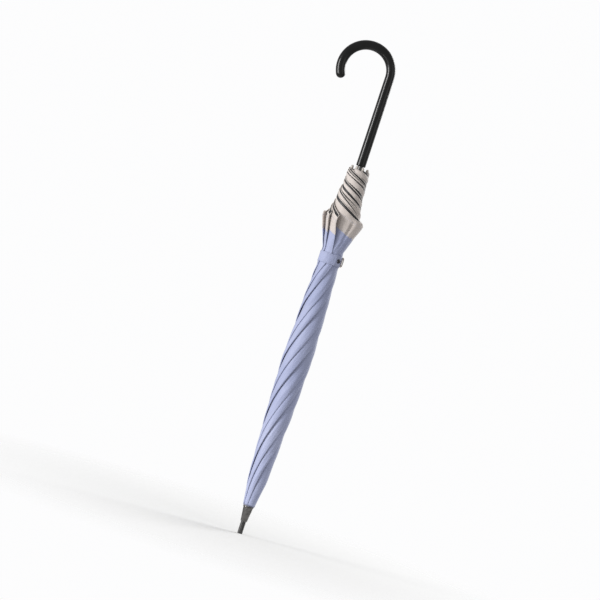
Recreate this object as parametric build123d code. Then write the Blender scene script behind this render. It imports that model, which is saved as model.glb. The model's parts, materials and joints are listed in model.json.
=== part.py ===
from build123d import *
from math import atan2, cos, degrees, hypot, radians, sin
import os

# A stick umbrella, closed, rolled and tied. Millimetres, +Z along the shaft from the ferrule's tip to the handle.
# The origin is the centre of the ferrule's flat tip, and the handle's hook curls towards -X.

# ---- driving dimensions ----
RIBS = 8
FIRST_RIB_AZIMUTH = 22.5

SHAFT_R = 4.0
SHAFT_WALL = 0.6
SHAFT_TOP = 655.0
SHAFT_FIT = 0.08

FERRULE_LENGTH = 24.0
FERRULE_CHAMFER = 0.6
SPIGOT_LENGTH = 20.0
SPIGOT_GAP = 0.05
CAP_FROM, CAP_TO = 20.0, 45.0
CAP_SMALL_R, CAP_LARGE_R = 5.2, 8.4
SHOULDER_GAP = 0.2
NECK_R = 3.7
ROSETTE_R, ROSETTE_THICKNESS = 9.4, 1.0

HINGE_R = 6.2
NOTCH_Z = 62.0
HEAD_R = 7.8
WIRE_R = 0.5
GROOVE_R = 0.56
SLOT_WIDTH = 1.6
SLOT_FLOOR_R = 4.7
HUB_R = 6.2
HUB_BOTTOM = 52.0
PIN_R, PIN_FIT = 0.8, 0.05

RIB_LENGTH = 532.0
RIB_SPLAY = 0.75
RIB_WIDTH, RIB_DEPTH, RIB_WALL = 2.4, 2.2, 0.5
EYE_R, EYE_THICKNESS, EYE_HOLE_R = 1.35, 1.2, 0.6
NECK_LENGTH = 5.5
TIP_R, TIP_FROM, TIP_TO = 2.1, 527.0, 537.0

SADDLE_ALONG = 237.0
SADDLE_INWARD = 2.6
EAR_R, EAR_HALF = 1.3, 1.6
RIVET_R, RIVET_FIT = 0.6, 0.05
RIVET_HEAD_R, RIVET_HEAD = 0.95, 0.3

ARM_WIDTH, ARM_DEPTH, ARM_WALL = 2.0, 1.8, 0.4
ARM_NECK = 4.5

RUNNER_SLEEVE_R, RUNNER_COLLAR_R = 6.3, 7.6
RUNNER_LENGTH = 42.0
KEYWAY_R, KEYWAY_WIDTH = 5.5, 2.2
WINDOW_WIDTH, WINDOW_FROM, WINDOW_TO = 3.6, 16.0, 30.0

CATCH_R, CATCH_WIDTH, CATCH_LENGTH = 5.1, 1.6, 10.0
OPENING_CATCH_Z = 304.2
CLOSING_CATCH_Z = 554.0
STOP_PIN_Z = 581.0

HANDLE_R = 7.5
HANDLE_BOTTOM = 602.6
HOOK_CENTRE_Z = 748.0
HOOK_R = 39.4
HOOK_SWEEP = 205.0

# the rolled canopy's outline: height and radius
ROLL_OUTLINE = [
    (47.0, 10.0),
    (60.0, 11.5),
    (85.0, 15.0),
    (137.0, 17.8),
    (219.0, 21.8),
    (285.0, 23.4),
    (383.0, 20.4),
    (438.0, 17.6),
    (464.0, 17.6),
    (489.0, 26.0),
    (516.0, 34.0),
    (520.0, 33.0),
    (525.0, 26.0),
    (550.0, 20.5),
    (575.0, 18.2),
    (588.0, 16.6),
]
ROLL_CLEARANCE = 0.5
GORE_GAP = 2.0
STRAP_Z, STRAP_WIDTH = 451.0, 17.0
STRAP_R, STRAP_THICKNESS = 17.9, 1.0
STRAP_RING_AZIMUTH, STRAP_BUTTON_AZIMUTH = -12.0, -44.0
STRAP_RING_LONG, STRAP_RING_WIDE, STRAP_RING_WIRE = 17.0, 8.6, 0.9
STRAP_BUTTON_R, STRAP_BUTTON_THICKNESS = 3.6, 1.8

# ---- the linkage, in the plane of one rib: radius and height ----
PLATE_EDGE = 0.9
splay = radians(RIB_SPLAY)
saddle_r = HINGE_R + SADDLE_ALONG * sin(splay) - SADDLE_INWARD * cos(splay)
saddle_z = NOTCH_Z + SADDLE_ALONG * cos(splay) + SADDLE_INWARD * sin(splay)
link_length = hypot(saddle_r - HINGE_R, saddle_z - NOTCH_Z)
link_tilt = degrees(atan2(saddle_r - HINGE_R, saddle_z - NOTCH_Z))
RUNNER_Z = 2 * saddle_z - NOTCH_Z


def block(x0, x1, y0, y1, z0, z1):
    """A box between two corners."""
    return Pos((x0 + x1) / 2, (y0 + y1) / 2, (z0 + z1) / 2) * Box(x1 - x0, y1 - y0, z1 - z0)


def rod(radius, z0, z1):
    """A round bar on the shaft's axis."""
    return Pos(0, 0, (z0 + z1) / 2) * Cylinder(radius, z1 - z0)


def cross_pin(radius, length, x, z):
    """A round bar along Y, centred on y = 0."""
    return Pos(x, 0, z) * Rot(90, 0, 0) * Cylinder(radius, length)


def turned(points):
    """A solid turned about the shaft's axis from an outline of radius and height."""
    return revolve(make_face(Polyline(*[(r, 0, z) for r, z in points], close=True)), Axis.Z)


def around(shape, n):
    """A copy of a shape in the plane of rib n, from 1."""
    return Rot(0, 0, FIRST_RIB_AZIMUTH + (n - 1) * 360 / RIBS) * shape


def in_rib_frame(shape):
    """From a rib's own frame, hinge at the origin and rib along +Z, to its closed place in the X-Z plane."""
    return Pos(HINGE_R, 0, NOTCH_Z) * Rot(0, RIB_SPLAY, 0) * shape


# ---- shaft, ferrule and handle ----
def shaft():
    inner = SHAFT_R - SHAFT_WALL
    tube = rod(SHAFT_R, FERRULE_LENGTH, SHAFT_TOP) - rod(inner, FERRULE_LENGTH, SHAFT_TOP)
    half = CATCH_WIDTH / 2 + 0.15
    for z in (OPENING_CATCH_Z, CLOSING_CATCH_Z):
        tube -= block(-SHAFT_R - 1, -SHAFT_R + 1, -half, half, z - 0.3, z + CATCH_LENGTH + 0.3)
    for z in (notch_pin_z(), STOP_PIN_Z):
        tube -= cross_pin(PIN_R + PIN_FIT, 4 * SHAFT_R, 0, z)
    return tube


def ferrule_rod():
    shoulder = CAP_FROM - SHOULDER_GAP
    land = chamfer(rod(SHAFT_R, 0, shoulder).edges().group_by(Axis.Z)[0], FERRULE_CHAMFER)
    neck = rod(NECK_R, shoulder - 1, FERRULE_LENGTH)
    spigot_r = SHAFT_R - SHAFT_WALL - SPIGOT_GAP
    return land + neck + rod(spigot_r, FERRULE_LENGTH - 1, FERRULE_LENGTH + SPIGOT_LENGTH)


def ferrule_cap():
    bore = SHAFT_R + SHAFT_FIT
    lip = 2.2
    return turned(
        [
            (bore, CAP_FROM),
            (CAP_SMALL_R - 0.5, CAP_FROM),
            (CAP_SMALL_R, CAP_FROM + 0.6),
            (CAP_LARGE_R - 0.6, CAP_TO - lip),
            (CAP_LARGE_R, CAP_TO - lip + 0.4),
            (CAP_LARGE_R, CAP_TO),
            (bore, CAP_TO),
        ]
    )


def top_rosette():
    low = CAP_TO + 0.2
    return rod(ROSETTE_R, low, low + ROSETTE_THICKNESS) - rod(SHAFT_R + SHAFT_FIT, low - 1, low + 3)


def handle():
    leg = rod(HANDLE_R, HANDLE_BOTTOM, HOOK_CENTRE_Z)
    leg = fillet(leg.edges().group_by(Axis.Z)[0], 1.4)
    hook_axis = Axis((-HOOK_R, 0, HOOK_CENTRE_Z), (0, -1, 0))
    hook = revolve(Pos(0, 0, HOOK_CENTRE_Z) * Circle(HANDLE_R), hook_axis, HOOK_SWEEP)
    sweep = radians(HOOK_SWEEP)
    end = Pos(HOOK_R * (cos(sweep) - 1), 0, HOOK_CENTRE_Z + HOOK_R * sin(sweep)) * Sphere(HANDLE_R)
    return leg + hook + end - rod(SHAFT_R + SHAFT_FIT, HANDLE_BOTTOM - 1, SHAFT_TOP + 0.5)


# ---- top notch, runner and their wires ----
def slots(floor_z, mouth_z):
    """The eight slots that the rib or stretcher eyes turn in."""
    half = SLOT_WIDTH / 2
    slot = block(SLOT_FLOOR_R, HEAD_R + 2, -half, half, min(floor_z, mouth_z), max(floor_z, mouth_z))
    return [around(slot, n) for n in range(1, RIBS + 1)]


def notch_pin_z():
    return HUB_BOTTOM + 3.6


def top_notch():
    body = rod(HUB_R, HUB_BOTTOM, NOTCH_Z) + rod(HEAD_R, NOTCH_Z - 3.5, NOTCH_Z + 3.5)
    body -= rod(SHAFT_R + SHAFT_FIT, HUB_BOTTOM - 1, NOTCH_Z + 5)
    body -= slots(NOTCH_Z - 2.0, NOTCH_Z + 5.0)
    body -= Pos(0, 0, NOTCH_Z) * Torus(HINGE_R, GROOVE_R)
    return body - cross_pin(PIN_R + PIN_FIT, 4 * HUB_R, 0, notch_pin_z())


def wire(z):
    return Pos(0, 0, z) * Torus(HINGE_R, WIRE_R)


def runner():
    z = RUNNER_Z
    top = z + RUNNER_LENGTH
    body = rod(HEAD_R, z - 3.5, z + 5) + rod(RUNNER_SLEEVE_R, z, top)
    body += chamfer(rod(RUNNER_COLLAR_R, top - 6, top).edges(), 0.8)
    body -= rod(SHAFT_R + SHAFT_FIT, z - 5, top + 1)
    body -= slots(z + 2.0, z - 5.0)
    body -= Pos(0, 0, z) * Torus(HINGE_R, GROOVE_R)
    key = KEYWAY_WIDTH / 2
    body -= block(-KEYWAY_R, -SHAFT_R + 1, -key, key, z - 5, top + 1)
    wide = WINDOW_WIDTH / 2
    return body - block(-2 * HEAD_R, -SHAFT_R + 1, -wide, wide, z + WINDOW_FROM, z + WINDOW_TO)


# ---- ribs and stretchers ----
def channel(width, depth, wall, z0, z1, open_side):
    """A U-shaped bar along Z, open towards -X or +X."""
    half_w, half_d = width / 2, depth / 2
    outer = block(-half_d, half_d, -half_w, half_w, z0, z1)
    if open_side < 0:
        hollow = block(-half_d - 1, half_d - wall, -half_w + wall, half_w - wall, z0 - 1, z1 + 1)
    else:
        hollow = block(-half_d + wall, half_d + 1, -half_w + wall, half_w - wall, z0 - 1, z1 + 1)
    return outer - hollow


def eye(z, reach, hole_r, radius):
    """A flat eye on a neck that reaches along Z into the bar."""
    half = EYE_THICKNESS / 2
    neck = block(-PLATE_EDGE, PLATE_EDGE, -half, half, min(z, z + reach), max(z, z + reach))
    return neck + cross_pin(radius, EYE_THICKNESS, 0, z) - cross_pin(hole_r, 4, 0, z)


def ears():
    """The two ears that hold a stretcher, pressed inward from the rib's side walls."""
    half_w, x = RIB_WIDTH / 2, -SADDLE_INWARD
    both = cross_pin(EAR_R, RIB_WIDTH, x, SADDLE_ALONG)
    both += block(x, -RIB_DEPTH / 2 + 0.4, -half_w, half_w, SADDLE_ALONG - EAR_HALF, SADDLE_ALONG + EAR_HALF)
    gap = half_w - RIB_WALL
    both -= block(x - 3, 0, -gap, gap, SADDLE_ALONG - 4, SADDLE_ALONG + 4)
    return both - cross_pin(RIVET_R + RIVET_FIT, 4, x, SADDLE_ALONG)


def rib():
    bar = channel(RIB_WIDTH, RIB_DEPTH, RIB_WALL, NECK_LENGTH, RIB_LENGTH, -1)
    return in_rib_frame(bar + eye(0, NECK_LENGTH + 3, EYE_HOLE_R, EYE_R) + ears())


def rib_tip():
    body = rod(TIP_R, TIP_FROM, TIP_TO) + Pos(0, 0, TIP_TO) * Sphere(TIP_R)
    x, y = RIB_DEPTH / 2 + 0.05, RIB_WIDTH / 2 + 0.05
    return in_rib_frame(body - block(-x, x, -y, y, TIP_FROM - 1, RIB_LENGTH + 0.05))


def rivet():
    half = RIB_WIDTH / 2 + 0.05
    x = -SADDLE_INWARD
    pin = cross_pin(RIVET_R, 2 * half + 0.2, x, SADDLE_ALONG)
    for side in (-1, 1):
        pin += Pos(0, side * (half + RIVET_HEAD / 2), 0) * cross_pin(RIVET_HEAD_R, RIVET_HEAD, x, SADDLE_ALONG)
    return in_rib_frame(pin)


def stretcher():
    bar = channel(ARM_WIDTH, ARM_DEPTH, ARM_WALL, ARM_NECK, link_length - ARM_NECK, 1)
    bar += eye(0, ARM_NECK + 3, RIVET_R + RIVET_FIT, EAR_R)
    bar += eye(link_length, -ARM_NECK - 3, EYE_HOLE_R, EYE_R)
    return Pos(saddle_r, 0, saddle_z) * Rot(0, -link_tilt, 0) * bar


# ---- catches and pins in the shaft ----
def catch(z, step_at_top):
    """A sprung block with a ramp at one end and a square step at the other."""
    back = -1.2
    ends = [(0, CATCH_R), (4, CATCH_R), (CATCH_LENGTH, SHAFT_R + 0.1)]
    if step_at_top:
        ends = [(CATCH_LENGTH - dz, r) for dz, r in reversed(ends)]
    outline = [(back, 0, z), *[(-r, 0, z + dz) for dz, r in ends], (back, 0, z + CATCH_LENGTH)]
    return extrude(make_face(Polyline(*outline, close=True)), CATCH_WIDTH / 2, dir=(0, 1, 0), both=True)


# ---- canopy and strap ----
def gore():
    """One eighth of the rolled canopy: a long curved shell outside the ribs."""
    bottom, top = ROLL_OUTLINE[0][0], ROLL_OUTLINE[-1][0]
    rib_out = HINGE_R + RIB_DEPTH / 2 + ROLL_CLEARANCE
    inner = [
        (rib_out + (top - NOTCH_Z) * sin(splay), top),
        (HEAD_R + ROLL_CLEARANCE, NOTCH_Z + 20),
        (HEAD_R + ROLL_CLEARANCE, bottom),
    ]
    outline = [(r, 0, z) for z, r in ROLL_OUTLINE] + [(r, 0, z) for r, z in inner]
    turn = 360 / RIBS - GORE_GAP
    return revolve(make_face(Polyline(*outline, close=True)), Axis.Z, turn)


def strap():
    low, high = STRAP_Z - STRAP_WIDTH / 2, STRAP_Z + STRAP_WIDTH / 2
    return rod(STRAP_R + STRAP_THICKNESS, low, high) - rod(STRAP_R, low - 1, high + 1)


def on_strap(azimuth, gap):
    """A frame on the strap's outside, its Z pointing away from the shaft and its X along the strap's width."""
    away = STRAP_R + STRAP_THICKNESS + gap
    return Rot(0, 0, azimuth) * Pos(away, 0, STRAP_Z) * Rot(0, 90, 0)


def strap_ring():
    half = STRAP_RING_LONG / 2 - STRAP_RING_WIRE
    bend = STRAP_RING_WIDE / 2 - STRAP_RING_WIRE
    side = half - bend
    start = Plane(origin=(0, bend, 0), z_dir=(1, 0, 0))
    straight = extrude(start * Circle(STRAP_RING_WIRE), side, both=True)
    turn = revolve(Plane(origin=(side, bend, 0), z_dir=(1, 0, 0)) * Circle(STRAP_RING_WIRE),
                   Axis((side, 0, 0), (0, 0, -1)), 180)
    half_ring = straight + turn
    ring = half_ring + Rot(0, 0, 180) * half_ring
    return on_strap(STRAP_RING_AZIMUTH, STRAP_RING_WIRE + 0.3) * ring


def strap_button():
    dome = Cylinder(STRAP_BUTTON_R, STRAP_BUTTON_THICKNESS)
    dome = fillet(dome.edges().group_by(Axis.Z)[-1], 0.9)
    return on_strap(STRAP_BUTTON_AZIMUTH, STRAP_BUTTON_THICKNESS / 2 + 0.1) * dome


# ---- every node ----
def make_nodes():
    nodes = {
        "shaft": shaft(),
        "ferrule_rod": ferrule_rod(),
        "ferrule_cap": ferrule_cap(),
        "top_rosette": top_rosette(),
        "handle": handle(),
        "top_notch": top_notch(),
        "notch_wire": wire(NOTCH_Z),
        "notch_pin": cross_pin(PIN_R, 2 * HUB_R - 0.4, 0, notch_pin_z()),
        "stop_pin": cross_pin(PIN_R, 2 * SHAFT_R + 3, 0, STOP_PIN_Z),
        "runner": runner(),
        "runner_wire": wire(RUNNER_Z),
        "opening_catch": catch(OPENING_CATCH_Z, False),
        "closing_catch": catch(CLOSING_CATCH_Z, True),
        "strap": strap(),
        "strap_ring": strap_ring(),
        "strap_button": strap_button(),
    }
    one_of_each = {"rib": rib(), "rib_tip": rib_tip(), "rivet": rivet(), "stretcher": stretcher(), "gore": gore()}
    for name, shape in one_of_each.items():
        for n in range(1, RIBS + 1):
            nodes[f"{name}_{n}"] = around(shape, n)
    return nodes


os.makedirs("parts", exist_ok=True)
for node, solid in make_nodes().items():
    export_step(solid, f"parts/{node}.step")
print("runner pivot height", round(RUNNER_Z, 3), "saddle", round(saddle_r, 4), round(saddle_z, 4))
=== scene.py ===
"""Looks of a rolled and tied stick umbrella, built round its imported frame.

Lengths are in metres, and MM turns millimetres into them. A list of eight holds one value for each fin of the rolled
canopy. A list of pairs is a table: a height, and the value there.
"""
import itertools
import json
from math import cos, pi, radians, sin

import bmesh
import bpy
import numpy as np
from mathutils import Matrix, Vector, noise

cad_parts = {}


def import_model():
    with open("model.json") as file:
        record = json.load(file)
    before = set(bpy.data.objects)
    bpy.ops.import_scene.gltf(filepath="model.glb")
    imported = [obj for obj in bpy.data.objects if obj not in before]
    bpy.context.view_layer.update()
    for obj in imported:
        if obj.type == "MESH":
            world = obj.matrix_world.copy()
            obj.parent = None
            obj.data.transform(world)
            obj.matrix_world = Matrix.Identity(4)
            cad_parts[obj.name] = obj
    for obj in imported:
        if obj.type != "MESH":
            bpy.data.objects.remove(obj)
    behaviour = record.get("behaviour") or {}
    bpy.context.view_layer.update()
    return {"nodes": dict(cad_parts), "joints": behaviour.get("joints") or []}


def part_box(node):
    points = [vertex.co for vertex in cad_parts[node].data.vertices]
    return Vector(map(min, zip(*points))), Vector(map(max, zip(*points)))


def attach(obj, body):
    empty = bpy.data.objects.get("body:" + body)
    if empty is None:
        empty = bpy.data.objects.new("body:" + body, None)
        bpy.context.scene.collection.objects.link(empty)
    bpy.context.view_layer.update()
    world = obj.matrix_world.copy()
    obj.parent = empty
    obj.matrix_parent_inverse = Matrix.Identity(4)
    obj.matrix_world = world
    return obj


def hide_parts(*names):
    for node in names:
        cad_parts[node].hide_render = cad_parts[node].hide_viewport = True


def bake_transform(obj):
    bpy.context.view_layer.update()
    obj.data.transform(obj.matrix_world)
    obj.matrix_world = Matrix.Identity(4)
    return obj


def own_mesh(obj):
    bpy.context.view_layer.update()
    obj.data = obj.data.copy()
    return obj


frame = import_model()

MM = 0.001
RIBS = 8
SECTOR = 2 * pi / RIBS
FIRST_RIB = SECTOR / 2

# ---- sizes read from the frame ----
joints = {j["name"]: j for j in frame["joints"]}
hinge = Vector(joints["fold"]["pos_m"])
HINGE_R, NOTCH_Z = hinge.to_2d().length, hinge.z
TIP_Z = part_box("rib_tip_1")[1].z
strap_low, strap_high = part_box("strap")
STRAP_MID, STRAP_HALF = (strap_low.z + strap_high.z) / 2, (strap_high.z - strap_low.z) / 2
STRAP_R = strap_high.x
CANOPY_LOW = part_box("gore_1")[0].z


# ---- node materials ----
class Nodes:
    """A node tree built from short calls: each returns the new node's first output."""

    def __init__(self, name):
        self.material = bpy.data.materials.new(name)
        self.material.use_nodes = True
        self.tree = self.material.node_tree
        self.tree.nodes.clear()
        self.out = self.tree.nodes.new("ShaderNodeOutputMaterial")

    def add(self, kind, inputs=None, output=0, **settings):
        """A node with its settings made and its inputs set to constants or linked to sockets."""
        node = self.tree.nodes.new(kind)
        for key, value in settings.items():
            setattr(node, key, value)
        for key, value in (inputs or {}).items():
            if isinstance(value, bpy.types.NodeSocket):
                self.tree.links.new(value, node.inputs[key])
            else:
                node.inputs[key].default_value = value
        return node.outputs[output]

    def math(self, operation, a, b=0.0):
        return self.add("ShaderNodeMath", {0: a, 1: b}, operation=operation)

    def mix(self, factor, a, b):
        """A colour mix: a mix node's colours are its inputs 6 and 7, and its output 2."""
        return self.add("ShaderNodeMix", {0: factor, 6: a, 7: b}, output=2, data_type="RGBA")

    def spread(self, value, low, high, to_low, to_high):
        """A value mapped from one range to another, and held at its ends."""
        return self.add("ShaderNodeMapRange", {0: value, 1: low, 2: high, 3: to_low, 4: to_high})

    def noise(self, scale, detail, vector):
        return self.add("ShaderNodeTexNoise", {"Scale": scale, "Detail": detail, "Vector": vector})

    def place(self):
        """The object's own coordinates, in metres."""
        return self.add("ShaderNodeTexCoord", output=3)

    def stretched(self, x, y, z):
        """The object's own coordinates, each at its own scale."""
        return self.add("ShaderNodeMapping", {"Vector": self.place(), "Scale": (x, y, z)})

    def bump(self, height, strength, distance, normal=None):
        inputs = {"Height": height, "Strength": strength, "Distance": distance}
        if normal is not None:
            inputs["Normal"] = normal
        return self.add("ShaderNodeBump", inputs)

    def finish(self, **sockets):
        """The surface shader, with its sockets named by word, such as base_color."""
        named = {key.replace("_", " ").title().replace("Ior", "IOR"): value for key, value in sockets.items()}
        shader = self.add("ShaderNodeBsdfPrincipled", named)
        self.tree.links.new(shader, self.out.inputs["Surface"])
        return self.material


def rgb(r, g, b):
    return (r, g, b, 1.0)


BLUE = rgb(0.388, 0.420, 0.600)
BLUE_DEEP = rgb(0.305, 0.340, 0.522)
BEIGE = rgb(0.610, 0.550, 0.515)
BEIGE_DEEP = rgb(0.540, 0.475, 0.435)
BORDER_WIDTH_MM = 24.0
HEM_FOLD_MM = (4.4, 5.4)
THREAD_MM = 0.42
STITCH_MM = 2.6


def weave(n, across, along):
    """A plain weave's height, from cloth coordinates in millimetres."""
    step = pi / THREAD_MM
    warp = n.math("SINE", n.math("MULTIPLY", across, step))
    weft = n.math("SINE", n.math("MULTIPLY", along, step))
    return n.math("MULTIPLY", warp, weft)


def cloth_coordinates(n):
    """Three lengths in millimetres, kept on the mesh: across a gore, along it, and to its hem."""
    vector = n.add("ShaderNodeAttribute", attribute_name="cloth_mm", output=1)
    split = n.add("ShaderNodeSeparateXYZ", {0: vector}).node
    return tuple(split.outputs)


def cloth_noise(n, u, v, u_scale, v_scale):
    """Noise in two of the cloth's own coordinates, so that it stays with the cloth in every pose."""
    scaled = {0: n.math("MULTIPLY", u, u_scale), 1: n.math("MULTIPLY", v, v_scale)}
    return n.noise(1.0, 2.0, n.add("ShaderNodeCombineXYZ", scaled))


def stitch_line(n, distance, at_mm, along):
    """A row of stitches at one distance from an edge: 1 on a stitch, 0 off it."""
    away = n.math("ABSOLUTE", n.math("SUBTRACT", distance, at_mm))
    row = n.spread(away, 0.18, 0.42, 1.0, 0.0)
    dash = n.math("SINE", n.math("MULTIPLY", along, 2 * pi / STITCH_MM))
    return n.math("MULTIPLY", row, n.spread(dash, -0.45, -0.15, 0.0, 1.0))


def cloth_outer():
    """Blue cloth with a beige border sewn along the hem, seen from the weather side."""
    n = Nodes("canopy_cloth_outer")
    across, along, hem = cloth_coordinates(n)
    seam = n.add("ShaderNodeAttribute", attribute_name="seam_mm", output=2)
    tone = n.noise(9.0, 4.0, n.place())
    fine = n.noise(900.0, 2.0, n.place())
    blue = n.mix(n.spread(tone, 0.35, 0.7, 0.0, 1.0), BLUE, BLUE_DEEP)
    beige = n.mix(n.spread(tone, 0.35, 0.7, 0.0, 1.0), BEIGE, BEIGE_DEEP)
    slub = cloth_noise(n, across, along, 3.2, 0.12)
    beige = n.mix(n.spread(slub, 0.42, 0.72, 0.0, 0.28), beige, rgb(0.70, 0.65, 0.61))
    colour = n.mix(n.spread(hem, BORDER_WIDTH_MM - 0.25, BORDER_WIDTH_MM + 0.25, 0.0, 1.0), beige, blue)
    thread = weave(n, across, along)
    # painted shade: the weave's low points, between the threads, are darkened towards navy
    colour = n.mix(n.spread(thread, -1.0, 1.0, 0.10, 0.0), colour, rgb(0.05, 0.05, 0.09))
    hem_row = stitch_line(n, hem, 5.0, across)
    border_row = stitch_line(n, hem, BORDER_WIDTH_MM - 1.6, across)
    clear_of_apex = n.spread(along, 70.0, 90.0, 0.0, 1.0)
    seam_row = n.math("MULTIPLY", stitch_line(n, seam, 2.2, along), clear_of_apex)
    stitches = n.math("MAXIMUM", n.math("MAXIMUM", hem_row, border_row), seam_row)
    colour = n.mix(n.math("MULTIPLY", stitches, 0.45), colour, rgb(0.50, 0.53, 0.70))
    ridge = n.math("ADD", n.spread(hem, *HEM_FOLD_MM, 1.0, 0.0), n.math("MULTIPLY", stitches, -0.9))
    border = n.spread(hem, BORDER_WIDTH_MM - 0.3, BORDER_WIDTH_MM + 0.3, 0.6, 0.0)
    pucker = cloth_noise(n, across, hem, 0.22, 0.05)
    pucker = n.math("MULTIPLY", pucker, n.spread(hem, 0.0, 11.0, 1.2, 0.0))
    relief = n.math("ADD", n.math("ADD", ridge, border), pucker)
    normal = n.bump(relief, 0.8, 0.00035)
    normal = n.bump(thread, 0.30, 0.00009, normal)
    crumple = n.noise(1.0, 3.0, n.stretched(230.0, 230.0, 70.0))
    normal = n.bump(crumple, 0.35, 0.0009, normal)
    uneven = n.math("ADD", n.math("MULTIPLY", tone, 0.6), n.math("MULTIPLY", fine, 0.4))
    return n.finish(base_color=colour, roughness=n.spread(uneven, 0.3, 0.7, 0.48, 0.66), normal=normal,
                    sheen_weight=0.55, sheen_roughness=0.40, specular_ior_level=0.45)


def cloth_lining():
    """The black coated underside."""
    n = Nodes("canopy_cloth_lining")
    across, along, hem = cloth_coordinates(n)
    tone = n.noise(14.0, 3.0, n.place())
    colour = n.mix(n.spread(tone, 0.3, 0.7, 0.0, 1.0), rgb(0.010, 0.010, 0.012), rgb(0.022, 0.021, 0.024))
    normal = n.bump(weave(n, across, along), 0.25, 0.00008)
    normal = n.bump(n.spread(hem, *HEM_FOLD_MM, 1.0, 0.0), 0.7, 0.0003, normal)
    return n.finish(base_color=colour, roughness=n.spread(tone, 0.3, 0.7, 0.42, 0.6), normal=normal,
                    sheen_weight=0.08)


def hem_cloth():
    """The rolled hem's pale binding."""
    n = Nodes("hem_cloth")
    tone = n.noise(60.0, 4.0, n.place())
    colour = n.mix(n.spread(tone, 0.35, 0.7, 0.0, 1.0), rgb(0.80, 0.74, 0.69), rgb(0.62, 0.55, 0.50))
    normal = n.bump(n.noise(2600.0, 2.0, n.place()), 0.35, 0.0001)
    return n.finish(base_color=colour, roughness=0.7, normal=normal, sheen_weight=0.2)


def moulded_gloss(name, colour, worn, rough_low, rough_high):
    """Glossy moulded plastic or lacquer, with faint rubbing and a slight waviness."""
    n = Nodes(name)
    haze = n.noise(38.0, 5.0, n.place())
    rub = n.noise(1.0, 6.0, n.stretched(420.0, 420.0, 36.0))
    base = n.mix(n.spread(haze, 0.45, 0.75, 0.0, 1.0), colour, worn)
    rubbed = n.spread(rub, 0.60, 0.74, 0.0, 0.04)
    rough = n.math("ADD", n.spread(haze, 0.3, 0.75, rough_low, rough_high), rubbed)
    normal = n.bump(n.noise(45.0, 1.0, n.place()), 0.10, 0.0002)
    normal = n.bump(n.noise(700.0, 2.0, n.place()), 0.05, 0.00002, normal)
    return n.finish(base_color=base, roughness=rough, normal=normal, coat_weight=0.18, coat_roughness=0.10,
                    specular_ior_level=0.22)


def enamel(name, colour, chip):
    """Black stoved enamel on steel, thin on its edges."""
    n = Nodes(name)
    grain = n.noise(1.0, 4.0, n.stretched(900.0, 900.0, 40.0))
    pointiness = n.add("ShaderNodeNewGeometry", output=7)
    worn = n.math("MULTIPLY", n.spread(pointiness, 0.53, 0.62, 0.0, 1.0), n.spread(grain, 0.5, 0.62, 0.0, 0.7))
    base = n.mix(worn, colour, chip)
    rough = n.spread(grain, 0.3, 0.7, 0.24, 0.42)
    normal = n.bump(n.noise(700.0, 3.0, n.place()), 0.12, 0.00008)
    return n.finish(base_color=base, roughness=rough, coat_weight=0.15, coat_roughness=0.12, normal=normal)


def drawn_metal(name, colour, rough_low, rough_high):
    """Bare metal with fine drawing lines and small dark spots."""
    n = Nodes(name)
    lines = n.noise(1.0, 5.0, n.stretched(500.0, 500.0, 60.0))
    spots = n.noise(420.0, 4.0, n.place())
    base = n.mix(n.spread(spots, 0.58, 0.7, 0.0, 0.55), colour, rgb(0.20, 0.19, 0.19))
    normal = n.bump(lines, 0.18, 0.00006)
    rough = n.spread(lines, 0.3, 0.7, rough_low, rough_high)
    return n.finish(base_color=base, metallic=1.0, roughness=rough, normal=normal)


def plated(name, colour, dull):
    """Dark polished plating with soft dull patches and turning lines."""
    n = Nodes(name)
    patches = n.noise(150.0, 4.0, n.place())
    lines = n.noise(1.0, 3.0, n.stretched(60.0, 60.0, 2400.0))
    base = n.mix(n.spread(patches, 0.4, 0.7, 0.0, 1.0), colour, dull)
    normal = n.bump(lines, 0.10, 0.00003)
    rough = n.spread(patches, 0.3, 0.7, 0.14, 0.30)
    return n.finish(base_color=base, metallic=1.0, roughness=rough, normal=normal)


def moulded_matte(name, colour, light):
    """Moulded plastic with a fine spark texture."""
    n = Nodes(name)
    tone = n.noise(120.0, 4.0, n.place())
    base = n.mix(n.spread(tone, 0.35, 0.7, 0.0, 1.0), colour, light)
    normal = n.bump(n.noise(1500.0, 3.0, n.place()), 0.30, 0.00008)
    rough = n.spread(tone, 0.3, 0.7, 0.38, 0.56)
    return n.finish(base_color=base, roughness=rough, normal=normal, specular_ior_level=0.45)


OUTER, LINING, HEM = cloth_outer(), cloth_lining(), hem_cloth()
HANDLE_BLACK = moulded_gloss("handle_lacquer", rgb(0.005, 0.005, 0.005), rgb(0.009, 0.009, 0.009), 0.20, 0.30)
CAP_METAL = plated("cap_gunmetal", rgb(0.17, 0.165, 0.16), rgb(0.09, 0.087, 0.085))
SHAFT_BLACK = enamel("shaft_enamel", rgb(0.004, 0.004, 0.005), rgb(0.22, 0.21, 0.20))
RIB_BLACK = enamel("rib_enamel", rgb(0.014, 0.014, 0.015), rgb(0.40, 0.39, 0.38))
WIRE = drawn_metal("wire_steel", rgb(0.56, 0.55, 0.54), 0.22, 0.40)
RING = drawn_metal("ring_nickel", rgb(0.42, 0.36, 0.31), 0.16, 0.32)
TIP = moulded_gloss("tip_plastic", rgb(0.50, 0.46, 0.42), rgb(0.40, 0.36, 0.33), 0.25, 0.42)
FITTING = moulded_matte("fitting_plastic", rgb(0.012, 0.012, 0.013), rgb(0.022, 0.022, 0.023))
BUTTON = moulded_gloss("button_dark", rgb(0.020, 0.020, 0.030), rgb(0.040, 0.040, 0.050), 0.15, 0.28)

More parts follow.
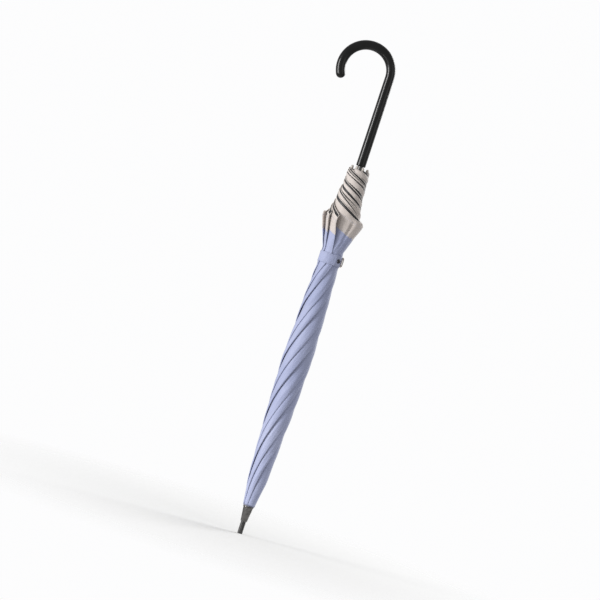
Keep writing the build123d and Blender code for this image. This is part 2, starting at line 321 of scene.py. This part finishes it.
# the looks of the CAD pieces, by their names without numbers
CAD_MATERIALS = {
    "shaft": SHAFT_BLACK, "ferrule_rod": SHAFT_BLACK, "ferrule_cap": CAP_METAL,
    "handle": HANDLE_BLACK, "top_notch": FITTING, "notch_wire": WIRE, "notch_pin": WIRE, "stop_pin": WIRE,
    "runner": FITTING, "runner_wire": WIRE, "opening_catch": WIRE, "closing_catch": WIRE,
    "rib": RIB_BLACK, "rib_tip": TIP, "rivet": WIRE, "stretcher": RIB_BLACK,
}
for node_name, node in frame["nodes"].items():
    kind = node_name.rstrip("0123456789").rstrip("_")
    if kind in CAD_MATERIALS:
        node.data.materials.clear()
        node.data.materials.append(CAD_MATERIALS[kind])


# ---- mesh helpers ----
def mesh_object(name, points, faces, materials, smooth=True):
    mesh = bpy.data.meshes.new(name)
    mesh.from_pydata([tuple(p) for p in points], [], faces)
    for m in materials:
        mesh.materials.append(m)
    mesh.polygons.foreach_set("use_smooth", [smooth] * len(mesh.polygons))
    mesh.update()
    piece = bpy.data.objects.new(name, mesh)
    bpy.context.scene.collection.objects.link(piece)
    return piece


def grid_faces(rows, columns):
    """Four-sided faces between the points of a grid that is stored row by row."""
    wide = columns + 1
    corners = ((r * wide + c, (r + 1) * wide + c) for r in range(rows) for c in range(columns))
    return [(low, low + 1, high + 1, high) for low, high in corners]


def cloth_values(piece, cloth, seam):
    """Keeps the cloth's coordinates and the distance from its seam on the mesh, in millimetres, for its materials."""
    for name, kind, key, values in (("cloth_mm", "FLOAT_VECTOR", "vector", cloth), ("seam_mm", "FLOAT", "value", seam)):
        attribute = piece.data.attributes.new(name, kind, "POINT")
        attribute.data.foreach_set(key, np.asarray(values, np.float32).ravel())


def apply_modifiers(piece):
    """The piece's mesh becomes what its modifiers make of it."""
    graph = bpy.context.evaluated_depsgraph_get()
    evaluated = piece.evaluated_get(graph)
    made = bpy.data.meshes.new_from_object(evaluated, preserve_all_data_layers=True, depsgraph=graph)
    piece.modifiers.clear()
    piece.data = made


def thicken(piece, thickness, other_side, rim):
    """Gives a sheet its cloth thickness, with the lining's material on its far side."""
    solid = piece.modifiers.new("thickness", "SOLIDIFY")
    solid.thickness = thickness
    solid.offset = 0.0
    solid.use_rim = True
    solid.material_offset = other_side
    solid.material_offset_rim = rim
    apply_modifiers(piece)
    piece.data.polygons.foreach_set("use_smooth", [True] * len(piece.data.polygons))


def tube_mesh(line, radius, sides, closed=False):
    """The points and faces of a round tube along a line, with its rings turned as little as they can be."""
    line = np.asarray(line, float)
    ahead = np.roll(line, -1, 0) - np.roll(line, 1, 0)
    if not closed:
        ahead[0], ahead[-1] = line[1] - line[0], line[-1] - line[-2]
    ahead /= np.linalg.norm(ahead, axis=1)[:, None]
    side = np.cross(ahead[0], (0.31, 0.17, 0.93))
    turns = [2 * pi * k / sides for k in range(sides)]
    rings = []
    for p, a in zip(line, ahead):
        side = side - a * (side @ a)
        side /= np.linalg.norm(side)
        up = np.cross(a, side)
        rings += [p + radius * (side * cos(t) + up * sin(t)) for t in turns]
    faces = []
    for i in range(len(line) if closed else len(line) - 1):
        for k in range(sides):
            here, there = i * sides, ((i + 1) % len(line)) * sides
            following = (k + 1) % sides
            faces.append((here + k, here + following, there + following, there + k))
    if not closed:
        faces += [tuple(range(sides))[::-1], tuple(range((len(line) - 1) * sides, len(line) * sides))]
    return rings, faces


# ---- the rolled canopy: eight fins of doubled cloth, wound round the closed ribs ----
CANOPY_FOOT_Z = 0.0465
CORNER_Z = 0.516  # where a fin's edge leaves the flare and falls back towards its rib
HEM_TOP = 0.598
FLARE_FROM_Z = 0.466
TIED_Z = 0.451
TIP_MARGIN = 0.003
CLOTH = 0.00018
HEM_R = 0.00045
RIB_SPLAY = 0.0131  # how fast the closed ribs lean away from the shaft
RIB_ROOM = 0.0024
FOOT_R, FOOT_SPLAY, FOOT_TOP_Z = 0.0072, 0.16, 0.056

# each fin's own irregularity
CORNER_SHIFT = [0.001, 0.003, 0.000, -0.001, 0.001, -0.002, 0.002, 0.000]
TOP_SHIFT = [0.0, -0.006, 0.0, -0.003, -0.008, -0.001, -0.004, 0.0]
FALL = [0.80, 0.83, 0.74, 0.71, 0.64, 0.60, 0.79, 0.86]
FOLD_SHIFT = [0.00, 0.12, -0.10, 0.00, -0.08, 0.13, -0.02, 0.09]
FLARE_SHIFT = [0.02, -0.08, -0.15, -0.44, 0.04, -0.06, 0.08, -0.20]
GAPE = [0.008, 0.032, 0.044, 0.034, 0.045, 0.008, 0.002, 0.024]
PLEAT = [0.0, 0.9, 0.0, 0.3, 1.0, 0.0, 0.7, 0.4]

# the roll's outer radius, read off the photo's silhouette, and how far it drops from one fold to the next
OUTLINE = [(0.0465, 0.0096), (0.060, 0.0113), (0.085, 0.0148), (0.137, 0.0176), (0.219, 0.0214), (0.285, 0.0230),
           (0.383, 0.0201), (0.436, 0.0174), (0.466, 0.0174)]
FLARE = [(0.466, 0.0174), (0.489, 0.0252), (0.500, 0.0295), (0.513, 0.0337), (0.5175, 0.0337), (0.5215, 0.0265),
         (0.530, 0.0242), (0.550, 0.0203), (0.570, 0.0182), (0.600, 0.0171)]
STEP = [(0.0465, 0.0006), (0.060, 0.0013), (0.085, 0.0023), (0.130, 0.0027), (0.300, 0.0028), (0.400, 0.0023),
        (0.440, 0.0013), (0.464, 0.0012), (0.480, 0.0035), (0.500, 0.0075), (0.516, 0.0095), (0.522, 0.0040),
        (0.550, 0.0018), (0.600, 0.0013)]
LEAST_STEP, MOST_STEP = 0.02, 0.62  # as shares of the roll's depth
LEAST_DEPTH = 0.001
LEAST_POWER = 0.35

# how fast the folds turn round the shaft, in radians for each metre of height
FIRST_WRAP = 0.95
LEAN_PER_M = [(0.0465, 6.0), (0.080, 9.5), (0.130, 17.0), (0.285, 19.0), (0.400, 22.0), (0.436, 24.0),
              (0.460, 6.0), (0.516, 1.5)]
FOLD_SHIFT_WHERE = [(0.05, 0.3), (0.12, 1), (0.45, 1), (0.50, 0)]
FLARE_SHIFT_WHERE = [(0.462, 0), (0.505, 1), (0.517, 1), (0.545, 0.3)]

# relief of the folds, in millimetres
PUFF = [(0.050, 0.3), (0.100, 0.9), (0.300, 1.2), (0.420, 0.8), (0.440, 0.1), (0.462, 0.1), (0.500, 0.3),
        (0.530, 0.25)]
PLEAT_DEPTH = [(0.466, 0.0), (0.500, 3.2), (0.510, 4.2), (0.516, 0.6), (0.522, 0.0)]
PLEAT_AT, PLEAT_WIDTH = 0.42, 0.085  # in sectors from the fold's edge
WRINKLE = [(0.047, 0.25), (0.07, 0.6), (0.12, 1.0), (0.52, 0.9), (0.59, 0.4)]
OWN_WRINKLE = [(0.047, 0.15), (0.085, 0.35), (0.400, 0.5), (0.440, 0.15), (0.470, 0.2), (0.515, 0.4), (0.525, 0.12)]
WRINKLE_LEAN = 19.0

# the cloth behind each fin's front layer
SEAM_SHARE = 0.08
FRONT_PART = 0.68
LAYER_GAP = 0.00025

# cloth lengths, from where a point lies on a fin
HALF_WIDTH_PER_M = 0.37
HEM_PER_M = 0.89

ROWS_BELOW, ROWS_ABOVE, COLUMNS = 150, 40, 46


def table(points, z):
    zs, values = np.array(points).T
    return np.interp(z, zs, values)


def smooth_table(points, z, reach):
    """A table's value at z, eased over a reach on either side of each of its points."""
    return sum(table(points, z + reach * k / 4) * (5 - abs(k)) for k in range(-4, 5)) / 25


def outline(z):
    """The roll's outer radius at a height."""
    return np.where(z < FLARE_FROM_Z, smooth_table(OUTLINE, z, 0.007), smooth_table(FLARE, z, 0.0016))


def wrap_angle(z):
    """How far round the shaft a fin is wrapped at a height. It stays the same above the corners."""
    zs = np.linspace(CANOPY_LOW, CORNER_Z, 500)
    turn = np.concatenate([[0], np.cumsum(np.diff(zs) * smooth_table(LEAN_PER_M, zs, 0.006)[1:])])
    return FIRST_WRAP + np.interp(np.minimum(z, CORNER_Z), zs, turn)


def inner_radius(z):
    """Just outside the closed ribs, and drawn in to the shaft at the foot."""
    ribs = HINGE_R + RIB_ROOM + RIB_SPLAY * (z - NOTCH_Z)
    foot = FOOT_R + (z - CANOPY_FOOT_Z) * FOOT_SPLAY
    return np.where(z < FOOT_TOP_Z, foot, ribs)


def usual_reach(z):
    """The share of its wrap at which a fin ends at a height, as it would be with no irregularity."""
    left = np.clip((HEM_TOP - z) / (HEM_TOP - CORNER_Z), 0, 1)
    return np.maximum(left**0.75 * (1 - 0.6 * (1 - left) ** 4), 0.004)


def fin_radius(fin, share, reach, z):
    """Radius on a fin at a share of its wrap, where reach is the share at its edge. It drops by one step a sector.

    It rises with the share alone, in one way for all the fins, so that they never pass through each other.
    """
    usual = usual_reach(z)
    low, high = inner_radius(z), outline(z)
    wrap = wrap_angle(z)
    drop = np.clip(table(STEP, z) / np.maximum(high - low, LEAST_DEPTH), LEAST_STEP, MOST_STEP)
    one_sector = SECTOR / np.maximum(wrap * usual, SECTOR * 1.05)
    power = np.maximum(np.log(1 - drop) / np.log(np.maximum(1 - one_sector, 1e-3)), LEAST_POWER)
    radius = low + (high - low) * np.clip(share / usual, 0, 1.10) ** power

    sectors = (reach - share) * wrap / SECTOR
    puff = table(PUFF, z)
    crown = puff * np.sin(pi * np.clip(sectors, 0, 1)) ** 0.7
    roll_in = 0.5 * np.clip(1 - sectors / 0.08, 0, 1) ** 2 * (puff > 0.12)
    crease = np.exp(-(((sectors - PLEAT_AT - 0.05 * PLEAT[fin]) / PLEAT_WIDTH) ** 2))
    pleat = PLEAT[fin] * table(PLEAT_DEPTH, z) * crease
    return radius + MM * (crown - roll_in - pleat)


def wrinkle(fin, angle, sectors, z):
    """Small folds that run along the fins, in millimetres, strongest beside the strap and none under it.

    Most of it is the same for every layer at one place, so that the layers lie on each other.
    """
    shape = np.broadcast(angle, z).shape
    flat = [np.broadcast_to(values, shape).ravel() for values in (angle, sectors, z)]

    def round_shaft(turn, height, across, along, offset):
        return noise.noise(Vector((cos(turn) * across, sin(turn) * across, height * along + offset)))

    shared, own = np.empty(flat[0].size), np.empty(flat[0].size)
    for k, (a, s, h) in enumerate(zip(*flat)):
        leaning = a - h * WRINKLE_LEAN
        shared[k] = (
            round_shaft(a, h, 1.1, 14.0, 0) * 0.9
            + round_shaft(leaning, h, 2.6, 11.0, 40)
            + round_shaft(leaning, h, 6.5, 24.0, 80) * 0.55
        )
        own[k] = noise.noise(Vector((s * 3.0 + h * 14.0, h * 17.0, fin * 5.1 + 9)))
    total = shared.reshape(shape) + own.reshape(shape) * table(OWN_WRINKLE, z)
    beside_strap = np.exp(-(((z - TIED_Z) / 0.045) ** 2))
    under_strap = np.exp(-(((z - TIED_Z) / 0.0095) ** 4))
    return total * (1 - 0.92 * under_strap) * (0.6 + 0.6 * beside_strap) * table(WRINKLE, z)


def add_tubes(piece, lines, radius, sides=6):
    """Rolled hems, added to a piece's own mesh as its third material."""
    mesh = piece.data
    made = bmesh.new()
    made.from_mesh(mesh)
    for line in lines:
        points, faces = tube_mesh(line, radius, sides)
        corners = [made.verts.new(p) for p in points]
        for face in faces:
            added = made.faces.new([corners[k] for k in face])
            added.material_index = 2
            added.smooth = True
    made.to_mesh(mesh)
    made.free()


def fin_layer(fin, layer, z, corner, top):
    """One layer of a fin, as a grid of points with each one's way across the gore and to the hem in millimetres.

    Layer 0 is the fin's front. Layer 1 is the next gore's cloth behind it, which ends at the next rib.
    """
    start = FIRST_RIB + fin * SECTOR
    wrap = wrap_angle(z) + FOLD_SHIFT[fin] * table(FOLD_SHIFT_WHERE, z)
    wrap = wrap + FLARE_SHIFT[fin] * table(FLARE_SHIFT_WHERE, z)
    falling = np.clip((top - z) / (top - corner), 0, 1) ** FALL[fin]
    opened = GAPE[fin] * layer * np.clip((z - corner) / 0.003, 0, 1) * falling**0.3
    reach = np.where(z <= corner, 1.0, np.clip(falling * (1 - 0.6 * (1 - falling) ** 4) + opened, 0, 1))
    columns = 1 - (1 - np.linspace(0, 1, COLUMNS + 1)) ** 2.0
    share = reach * columns[None, :]
    if layer == 0:
        angle = start + wrap * share
        radius = fin_radius(fin, share, reach, z)
        on_front = share
    else:
        angle = start + SECTOR + (wrap - SECTOR) * share
        on_front = (angle - start) / wrap
        front = fin_radius(fin, np.minimum(on_front, reach), reach, z)
        behind = fin_radius(fin, np.clip(on_front - SECTOR / wrap, 0, 1), reach, z)
        near_seam = np.clip(share / SEAM_SHARE, 0, 1)
        between = FRONT_PART * front + (1 - FRONT_PART) * behind
        radius = inner_radius(z) * (1 - near_seam) + between * near_seam
        radius = np.minimum(radius, front - LAYER_GAP)
        on_front = np.minimum(on_front, 1)
    sectors = (1 - on_front) * wrap / SECTOR
    radius = radius + MM * wrinkle(fin, angle, sectors, z) * np.clip(share * 3, 0, 1)
    xyz = np.stack([radius * np.cos(angle), radius * np.sin(angle), z + 0 * angle], -1)
    to_hem = ((corner + (top - corner) * (1 - share)) - z) * HEM_PER_M / MM
    across = share * HALF_WIDTH_PER_M * np.maximum(z - NOTCH_Z, 0.0) / MM
    return xyz, across, to_hem


def rolled_canopy():
    """The eight fins as one mesh. A fin's two layers share the points of its fold's edge below its corner."""
    below = np.linspace(0, 1, ROWS_BELOW)
    above = np.linspace(0, 1, ROWS_ABOVE + 1)[1:]
    points, cloth, seams, index, hems = [], [], [], {}, []
    rows = ROWS_BELOW + ROWS_ABOVE
    for fin in range(RIBS):
        corner, top = CORNER_Z + CORNER_SHIFT[fin], TIP_Z - TIP_MARGIN + TOP_SHIFT[fin]
        heights = [CANOPY_FOOT_Z + (corner - CANOPY_FOOT_Z) * below, corner + (top - corner) * above]
        z = np.concatenate(heights)[:, None]
        for layer in (0, 1):
            xyz, across, to_hem = fin_layer(fin, layer, z, corner, top)
            for r in range(rows):
                for c in range(COLUMNS + 1):
                    if layer == 1 and c == COLUMNS and z[r, 0] <= corner + 1e-9:
                        index[fin, layer, r, c] = index[fin, 0, r, c]
                        continue
                    index[fin, layer, r, c] = len(points)
                    points.append(xyz[r, c])
                    cloth.append((across[r, c], z[r, 0] / MM, to_hem[r, c]))
                    seams.append(across[r, c])
            hems.append(xyz[(z[:, 0] >= corner - 1e-9) & (z[:, 0] < top - 0.002), COLUMNS])
    faces = []
    for fin, layer, r, c in itertools.product(range(RIBS), (0, 1), range(rows - 1), range(COLUMNS)):
        quad = [index[fin, layer, r, c], index[fin, layer, r, c + 1],
                index[fin, layer, r + 1, c + 1], index[fin, layer, r + 1, c]]
        if layer:
            quad.reverse()
        if len(set(quad)) == 4:
            faces.append(quad)
    piece = mesh_object("canopy_rolled", points, faces, [OUTER, LINING, HEM])
    cloth_values(piece, cloth, seams)
    thicken(piece, CLOTH, 1, 2)
    add_tubes(piece, hems, HEM_R)
    return piece


ALL_GORES = [f"gore_{n}" for n in range(1, RIBS + 1)]

canopy = rolled_canopy()
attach(canopy, "shaft")
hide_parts(*ALL_GORES)
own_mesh(canopy)


# ---- the open canopy's panels: each lies closed round the ribs, under the roll ----
RIB_REACH = 0.536
SCALLOP = 0.092
PANEL_HINGE_R = 0.0075
PANEL_ROOM, APEX_ROOM, APEX_REACH = 0.0020, 0.0005, 0.012
PANEL_ROWS, PANEL_COLUMNS = 56, 18


def panel(number):
    """One gore between two ribs. Its points are placed by their share of the way across it and their length along the
    rib.
    """
    middle = FIRST_RIB + (number - 0.5) * SECTOR
    half_hinge = PANEL_HINGE_R * sin(SECTOR / 2)
    shares = np.linspace(0, 1, PANEL_COLUMNS + 1)
    way = 0.5 - np.sin(np.arcsin(1 - 2 * shares) / 3)  # the inverse of a smoothstep easing, so that cloth eased by it spreads evenly
    on_rib = np.linspace(0.003, 1, PANEL_ROWS + 1)[:, None] * RIB_REACH
    fall = 1 - SCALLOP * np.sin(pi * shares)[None, :] ** 1.3
    length = on_rib * fall
    radius = HINGE_R + PANEL_ROOM + APEX_ROOM * np.exp(-length / APEX_REACH) + RIB_SPLAY * length
    azimuth = np.arcsin(np.clip((2 * way - 1)[None, :] * half_hinge / radius, -1, 1))
    azimuth[:, 0], azimuth[:, -1] = -SECTOR / 2, SECTOR / 2
    angle = middle + azimuth
    xyz = np.stack([radius * np.cos(angle), radius * np.sin(angle), NOTCH_Z + length], -1).reshape(-1, 3)
    sideways = shares[None, :] * 2 - 1
    half = HALF_WIDTH_PER_M * length
    cloth = np.stack([sideways * half, length, RIB_REACH * fall - length], -1) / MM
    piece = mesh_object(f"canopy_panel_{number}", xyz, grid_faces(PANEL_ROWS, PANEL_COLUMNS), [OUTER, LINING, HEM])
    cloth_values(piece, cloth, (1 - np.abs(sideways)) * half / MM)
    thicken(piece, CLOTH, 1, 2)
    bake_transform(piece)
    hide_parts(f"gore_{number}")


for number in range(1, RIBS + 1):
    panel(number)


# ---- strap, ring, button and rosette ----
STRAP_START, STRAP_END = radians(-62), radians(346)
STRAP_INNER_R = 0.01795
STRAP_LENGTH_R = 0.0182
STRAP_CLOTH = 0.00055
STRAP_EDGE_WAVE = 0.0004
STRAP_ROWS, STRAP_COLUMNS = 260, 18
RING_AT, RING_WIRE_R = radians(-12), 0.0007
RING_STEPS, RING_SIDES = 64, 12
RING_HALF_WIDTH, RING_HALF_HEIGHT = 0.0034, 0.0076
BUTTON_AT = radians(-44)
BUTTON_PROFILE = [(0.0, 0.00165), (0.0010, 0.0016), (0.0019, 0.00135), (0.0025, 0.00095), (0.0028, 0.00085),
                  (0.0031, 0.00110), (0.0034, 0.00100), (0.0035, 0.00060), (0.0034, 0.0)]
ROSETTE_BORE_R, ROSETTE_MARGIN, ROSETTE_CLOTH = 0.0042, 0.0002, 0.0004
PLAIN_HEM_MM = 90.0  # far enough from a hem for plain blue cloth


def strap_radius(angle):
    """The strap rises over the roll's folds, and its end lies on its beginning."""
    from_folds = [(angle - radians(18) - k * SECTOR + pi) % (2 * pi) - pi for k in range(RIBS)]
    folds = sum(np.exp(-((away / 0.10) ** 2)) for away in from_folds)
    second_turn = np.clip((angle - STRAP_START - 2 * pi + 0.15) / 0.15, 0, 1)
    return STRAP_INNER_R + 0.00022 * folds + 0.0007 * second_turn


def strap():
    """The tie's band of cloth, wound a little more than once round the roll."""
    angles = np.linspace(STRAP_START, STRAP_END, STRAP_ROWS + 1)
    widths = np.linspace(-1, 1, STRAP_COLUMNS + 1)
    a, w = angles[:, None], widths[None, :]

    def uneven(along, across, offset):
        return np.array([[noise.noise(Vector((x * along, v * across, offset))) for v in widths] for x in angles])

    ripple, pulled = uneven(3.1, 0.8, 2.5), uneven(9.0, 1.6, 7.5)
    radius = strap_radius(a) + 0.00020 * ripple + 0.00016 * pulled + 0.00028 * w**6
    nip = 1 - 0.10 * np.exp(-(((a - STRAP_END) / 0.12) ** 2))
    z = STRAP_MID + w * (STRAP_HALF - STRAP_EDGE_WAVE) * nip + STRAP_EDGE_WAVE * uneven(2.3, 1.0, 11.0)
    xyz = np.stack([radius * np.cos(a), radius * np.sin(a), z], -1).reshape(-1, 3)
    faces = [quad[:1] + quad[:0:-1] for quad in grid_faces(STRAP_ROWS, STRAP_COLUMNS)]
    piece = mesh_object("strap_cloth", xyz, faces, [OUTER, OUTER, OUTER])
    across, length = w * STRAP_HALF / MM + 0 * a, (a - STRAP_START) * STRAP_LENGTH_R / MM + 0 * w
    cloth_values(piece, np.stack([across, length, PLAIN_HEM_MM + 0 * across], -1), STRAP_HALF / MM - np.abs(across))
    thicken(piece, STRAP_CLOTH, 0, 0)
    return piece


def ring():
    """An oval wire ring at the strap's end, standing off the cloth."""
    out = Vector((cos(RING_AT), sin(RING_AT), 0))
    middle = out * (STRAP_R + 0.0012) + Vector((0, 0, STRAP_MID))
    lean = (Vector((-out.y, out.x, 0)) + out * 0.10).normalized()
    line = []
    for k in range(RING_STEPS):
        t = 2 * pi * k / RING_STEPS
        bow = abs(cos(t)) ** 0.75 * (1 if cos(t) > 0 else -1)
        line.append(middle + lean * sin(t) * RING_HALF_WIDTH + Vector((0, 0, 1)) * bow * RING_HALF_HEIGHT)
    points, faces = tube_mesh(line, RING_WIRE_R, RING_SIDES, closed=True)
    return mesh_object("strap_ring_wire", points, faces, [RING])


def button():
    """A domed press stud with a rolled rim: its profile turned, and laid against the strap."""
    onto_strap = Matrix.Translation((STRAP_R - 0.00005, 0, STRAP_MID)) @ Matrix.Rotation(pi / 2, 4, "Y")
    turn = Matrix.Rotation(BUTTON_AT, 4, "Z") @ onto_strap
    sides = 40
    points = [turn @ Vector((0, 0, BUTTON_PROFILE[0][1]))]
    for r, h in BUTTON_PROFILE[1:]:
        points += [turn @ Vector((r * cos(2 * pi * k / sides), r * sin(2 * pi * k / sides), h)) for k in range(sides)]
    faces = [(0, 1 + k, 1 + (k + 1) % sides) for k in range(sides)]
    for j in range(len(BUTTON_PROFILE) - 2):
        a, b = 1 + j * sides, 1 + (j + 1) * sides
        faces += [(a + k, b + k, b + (k + 1) % sides, a + (k + 1) % sides) for k in range(sides)]
    last = 1 + (len(BUTTON_PROFILE) - 2) * sides
    faces.append(tuple(last + k for k in reversed(range(sides))))
    return mesh_object("strap_button_stud", points, faces, [BUTTON])


def rosette():
    """The round of cloth under the cap, with a wavy cut edge."""
    low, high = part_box("top_rosette")
    middle = (low.z + high.z) / 2
    rings, sides = 7, 96
    points, cloth = [], []
    for j in range(rings + 1):
        for k in range(sides):
            t = 2 * pi * k / sides
            wave = 0.00018 * sin(RIBS * t + 0.6) + 0.00010 * sin(5 * t + 2)
            r = ROSETTE_BORE_R + (high.x - ROSETTE_MARGIN - ROSETTE_BORE_R + wave) * j / rings
            lift = 0.00028 * (j / rings) ** 2 * sin(RIBS * t)
            points.append((r * cos(t), r * sin(t), middle + lift - 0.0001))
            cloth.append((r * cos(t) / MM, r * sin(t) / MM, PLAIN_HEM_MM))
    faces = []
    for j in range(rings):
        for k in range(sides):
            inner, outer, following = j * sides, (j + 1) * sides, (k + 1) % sides
            faces.append((inner + k, outer + k, outer + following, inner + following))
    piece = mesh_object("top_rosette_cloth", points, faces, [OUTER, OUTER, OUTER])
    cloth_values(piece, cloth, [(high.x - Vector(p).to_2d().length) / MM for p in points])
    thicken(piece, ROSETTE_CLOTH, 0, 0)
    return piece


tie = strap()
for piece, node, slot, keep in (
    (tie, "strap", "canopy_cloth", 0.04),
    (ring(), "strap_ring", "ring_metal", 0.30),
    (button(), "strap_button", "button_dark", 0.45),
):
    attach(piece, "rib_8")
    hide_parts(node)
    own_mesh(piece)

washer = rosette()
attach(washer, "shaft")
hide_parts("top_rosette")


# ---- camera, floor and lights ----
LEAN = radians(18.25)
VIEW_WIDTH = 0.936
VIEW_DISTANCE = 4.0
SENSOR = 36.0
AIM = Vector((-0.0245, 0.0, 0.3753))
FLOOR_R = 0.8
SKY_SHOWN, SKY_LIGHTING = 1.0, 0.46


def add_camera():
    """A camera that leans, as the umbrella does in the photo. Returns its right, up and backward directions."""
    data = bpy.data.cameras.new("camera")
    data.sensor_width = SENSOR
    data.lens = SENSOR * VIEW_DISTANCE / VIEW_WIDTH
    data.clip_end = 50.0
    camera = bpy.data.objects.new("camera", data)
    right = Vector((cos(LEAN), 0, sin(LEAN)))
    up = Vector((-sin(LEAN), 0, cos(LEAN)))
    back = right.cross(up)
    turn = Matrix((right, up, back)).transposed().to_4x4()
    camera.matrix_world = Matrix.Translation(AIM + back * VIEW_DISTANCE) @ turn
    bpy.context.scene.collection.objects.link(camera)
    bpy.context.scene.camera = camera
    return right, up, back


RIGHT, UP, BACK = add_camera()


def floor():
    """A pale disc that fades out before its edge."""
    n = Nodes("floor_pale")
    away = n.add("ShaderNodeVectorMath", {0: n.place()}, output=1, operation="LENGTH")
    fade = n.spread(away, 0.06, 0.60, 0.0, 1.0)
    plain = n.add("ShaderNodeBsdfPrincipled", {"Base Color": rgb(0.93, 0.93, 0.92), "Roughness": 0.85})
    clear = n.add("ShaderNodeBsdfTransparent")
    mixed = n.add("ShaderNodeMixShader", {0: fade, 1: plain, 2: clear})
    n.tree.links.new(mixed, n.out.inputs["Surface"])
    sides = 96
    edge = [(FLOOR_R * cos(2 * pi * k / sides), FLOOR_R * sin(2 * pi * k / sides), 0.0) for k in range(sides)]
    disc = mesh_object("floor", edge, [tuple(range(sides))], [n.material], smooth=False)


def area_light(name, place, size, power):
    data = bpy.data.lights.new(name, "AREA")
    data.shape = "RECTANGLE"
    data.size, data.size_y = size
    data.energy = power
    light = bpy.data.objects.new(name, data)
    light.location = place
    light.rotation_euler = (AIM - place).to_track_quat("-Z", "Y").to_euler()
    bpy.context.scene.collection.objects.link(light)


def world(shown, lighting):
    """A white studio: bright where it is seen, softer where it lights the object."""
    made = bpy.data.worlds.new("studio")
    made.use_nodes = True
    tree = made.node_tree
    background = tree.nodes["Background"]
    background.inputs[0].default_value = rgb(0.98, 0.98, 0.985)
    seen = tree.nodes.new("ShaderNodeLightPath")
    level = tree.nodes.new("ShaderNodeMapRange")
    tree.links.new(seen.outputs["Is Camera Ray"], level.inputs[0])
    level.inputs[3].default_value, level.inputs[4].default_value = lighting, shown
    tree.links.new(level.outputs[0], background.inputs[1])
    bpy.context.scene.world = made


bpy.context.scene.view_settings.view_transform = "Standard"
floor()
area_light("key", AIM + BACK * 1.1 - RIGHT * 2.0 + UP * 0.8, (0.8, 1.2), 56.0)
area_light("strip", AIM + BACK * 1.3 - RIGHT * 1.1 - UP * 0.1, (0.10, 1.6), 3.0)
area_light("fill", AIM + BACK * 1.5 + RIGHT * 1.8 + UP * 0.2, (1.2, 1.2), 3.5)
area_light("rear", AIM - BACK * 1.4 + RIGHT * 1.6 + UP * 0.6, (1.2, 1.2), 30.0)
world(SKY_SHOWN, SKY_LIGHTING)
